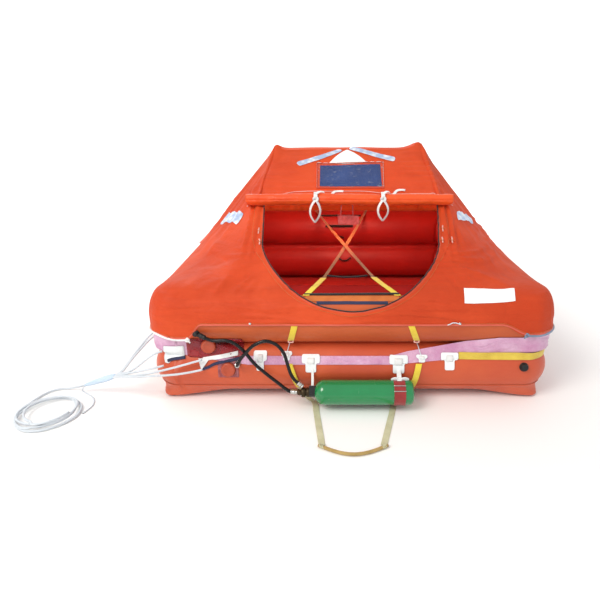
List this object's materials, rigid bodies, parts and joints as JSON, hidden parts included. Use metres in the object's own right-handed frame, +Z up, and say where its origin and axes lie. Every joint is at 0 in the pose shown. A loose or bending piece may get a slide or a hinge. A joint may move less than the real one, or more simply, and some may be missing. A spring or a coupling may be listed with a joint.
{
  "type": "inflatable life raft",
  "caption": "Square inflatable life raft with two stacked tubes, an orange tent canopy with a bowl-shaped door, a gas cylinder on the front and a painter coiled beside it.",
  "frame": {"origin": "middle of the flat floor's underside, on the ground", "axes": "+Z up, -Y out of the door and past the gas cylinder, +X to the right of someone who looks at the door"},
  "size_m": [2.1915, 2.0592, 0.961],
  "materials": {
    "floor_sheet": "matt coated fabric",
    "floor_wrap": "satin coated fabric",
    "lower_tube": "satin coated fabric",
    "upper_tube": "satin coated fabric",
    "fascia_band": "thin translucent coated film",
    "lifeline_webbing": "woven webbing",
    "inflation_cover": "translucent coated fabric",
    "boarding_strap_left": "woven webbing",
    "boarding_strap_right": "woven webbing",
    "stirrup_strap_left": "woven webbing",
    "stirrup_strap_right": "woven webbing",
    "stirrup_bar": "woven webbing, stitched double",
    "gas_cylinder": "gloss paint",
    "cylinder_valve": "dark tarnished",
    "cylinder_band": "woven strap",
    "cylinder_hanger_left": "coated fabric",
    "cylinder_hanger_right": "coated fabric",
    "arch_tube": "satin coated fabric",
    "canopy_door_panel": "woven and proofed",
    "canopy_rear_panel": "woven and proofed",
    "canopy_left_panel": "woven and proofed",
    "canopy_right_panel": "woven and proofed",
    "door_roll": "woven and proofed",
    "door_tie_left": "woven tape",
    "door_tie_right": "woven tape",
    "sign_panel": "matt",
    "lookout_sleeve": "woven and proofed",
    "valve_cap_lower": "moulded",
    "valve_cap_upper": "moulded",
    "topup_valve": "moulded",
    "hose_boss_lower": "moulded",
    "hose_boss_upper": "moulded",
    "inner_strap_a": "woven webbing",
    "inner_strap_b": "woven webbing",
    "hose_upper": "smooth hose",
    "hose_lower": "smooth hose",
    "patch_hose": "coated fabric",
    "patch_boarding_left": "coated fabric",
    "patch_boarding_right": "coated fabric",
    "patch_cylinder_left": "coated fabric",
    "patch_cylinder_right": "coated fabric",
    "patch_lifeline_front": "coated fabric",
    "patch_right_a": "coated fabric",
    "patch_right_b": "coated fabric",
    "patch_rear_a": "coated fabric",
    "patch_rear_b": "coated fabric",
    "patch_left_a": "coated fabric",
    "patch_left_b": "coated fabric",
    "patch_bridle": "coated fabric",
    "bridle_corner": "laid rope",
    "bridle_patch": "laid rope",
    "bridle_cover": "laid rope",
    "painter_lead": "laid rope",
    "painter_tail": "laid rope",
    "rope_splice": "laid rope",
    "painter_coil": "laid rope"
  },
  "bodies": {
    "root": {"floor_sheet": "floor_sheet", "floor_wrap": "floor_wrap", "lower_tube": "lower_tube", "upper_tube": "upper_tube", "fascia_band": "fascia_band", "lifeline_webbing": "lifeline_webbing", "inflation_cover": "inflation_cover", "boarding_strap_left": "boarding_strap_left", "boarding_strap_right": "boarding_strap_right", "stirrup_strap_left": "stirrup_strap_left", "stirrup_strap_right": "stirrup_strap_right", "stirrup_bar": "stirrup_bar", "gas_cylinder": "gas_cylinder", "cylinder_valve": "cylinder_valve", "cylinder_band": "cylinder_band", "cylinder_hanger_left": "cylinder_hanger_left", "cylinder_hanger_right": "cylinder_hanger_right", "arch_tube": "arch_tube", "canopy_door_panel": "canopy_door_panel", "canopy_rear_panel": "canopy_rear_panel", "canopy_left_panel": "canopy_left_panel", "canopy_right_panel": "canopy_right_panel", "door_roll": "door_roll", "door_tie_left": "door_tie_left", "door_tie_right": "door_tie_right", "sign_panel": "sign_panel", "lookout_sleeve": "lookout_sleeve", "valve_cap_lower": "valve_cap_lower", "valve_cap_upper": "valve_cap_upper", "topup_valve": "topup_valve", "hose_boss_lower": "hose_boss_lower", "hose_boss_upper": "hose_boss_upper", "inner_strap_a": "inner_strap_a", "inner_strap_b": "inner_strap_b", "hose_upper": "hose_upper", "hose_lower": "hose_lower", "patch_hose": "patch_hose", "patch_boarding_left": "patch_boarding_left", "patch_boarding_right": "patch_boarding_right", "patch_cylinder_left": "patch_cylinder_left", "patch_cylinder_right": "patch_cylinder_right", "patch_lifeline_front": "patch_lifeline_front", "patch_right_a": "patch_right_a", "patch_right_b": "patch_right_b", "patch_rear_a": "patch_rear_a", "patch_rear_b": "patch_rear_b", "patch_left_a": "patch_left_a", "patch_left_b": "patch_left_b", "patch_bridle": "patch_bridle", "bridle_corner": "bridle_corner", "bridle_patch": "bridle_patch", "bridle_cover": "bridle_cover", "painter_lead": "painter_lead", "painter_tail": "painter_tail", "rope_splice": "rope_splice", "painter_coil": "painter_coil"}
  },
  "joints": []
}
